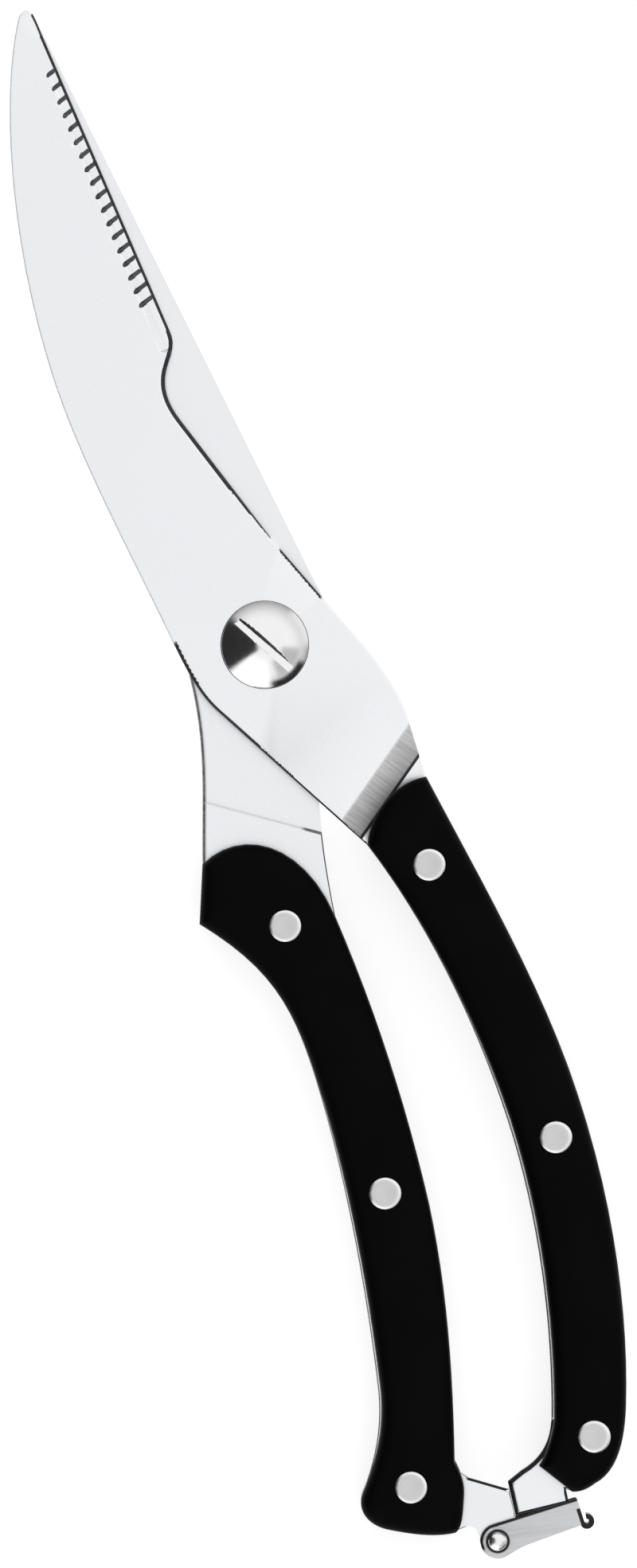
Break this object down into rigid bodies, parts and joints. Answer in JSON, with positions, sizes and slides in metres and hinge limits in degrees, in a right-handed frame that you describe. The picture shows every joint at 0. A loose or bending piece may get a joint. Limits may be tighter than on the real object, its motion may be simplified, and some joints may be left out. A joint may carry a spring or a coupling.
{
  "type": "poultry shears",
  "caption": "Curved poultry shears with a serrated upper blade and bone notch, a plain lower blade, black riveted handles, a slotted pivot screw, an opening spring and a swinging latch.",
  "frame": {"origin": "on the pivot axis, in the plane of the pivot nut's flat rear face, which is also the underside of the handles", "axes": "+Y along the shears to the blade tips, +Z along the pivot axis to the screw head, +X to the right seen from the screw's side"},
  "size_m": [0.0535, 0.26, 0.014],
  "materials": {
    "blade_steel": "fine satin grind along the blade, brighter bevels",
    "handle_plastic": "moulded black plastic with a low sheen",
    "rivet_metal": "turned face with a bright rim",
    "polished_steel": "polished",
    "spring_steel": "drawn wire and sheet, slightly dark",
    "latch_sheet": "tumbled sheet"
  },
  "bodies": {
    "left_half": {"plain_blade": "blade_steel", "left_handle_top_scale": "handle_plastic", "left_handle_bottom_scale": "handle_plastic", "left_handle_rivet_sleeve_1": "rivet_metal", "left_handle_rivet_sleeve_2": "rivet_metal", "left_handle_rivet_sleeve_3": "rivet_metal", "left_handle_rivet_stud_1": "rivet_metal", "left_handle_rivet_stud_2": "rivet_metal", "left_handle_rivet_stud_3": "rivet_metal", "pivot_nut": "polished_steel", "pivot_screw": "polished_steel", "pivot_washer": "spring_steel", "opening_spring": "spring_steel", "latch_pin": "polished_steel"},
    "right_half": {"serrated_blade": "blade_steel", "right_handle_top_scale": "handle_plastic", "right_handle_bottom_scale": "handle_plastic", "right_handle_rivet_sleeve_1": "rivet_metal", "right_handle_rivet_sleeve_2": "rivet_metal", "right_handle_rivet_sleeve_3": "rivet_metal", "right_handle_rivet_stud_1": "rivet_metal", "right_handle_rivet_stud_2": "rivet_metal", "right_handle_rivet_stud_3": "rivet_metal"},
    "latch": {"latch": "latch_sheet"}
  },
  "joints": [
    {"name": "blade_pivot", "type": "hinge", "parent": "left_half", "child": "right_half", "pos_m": [0, 0, 0.007], "axis": [0, 0, 1], "range_deg": [0, 30], "stiffness_Nm_per_rad": 0.8, "springref_deg": 59.99, "deforming": ["opening_spring"]},
    {"name": "latch_swing", "type": "hinge", "parent": "left_half", "child": "latch", "pos_m": [-0.0089, -0.1484, 0.007], "axis": [0, 0, 1], "range_deg": [-120, 3]}
  ]
}
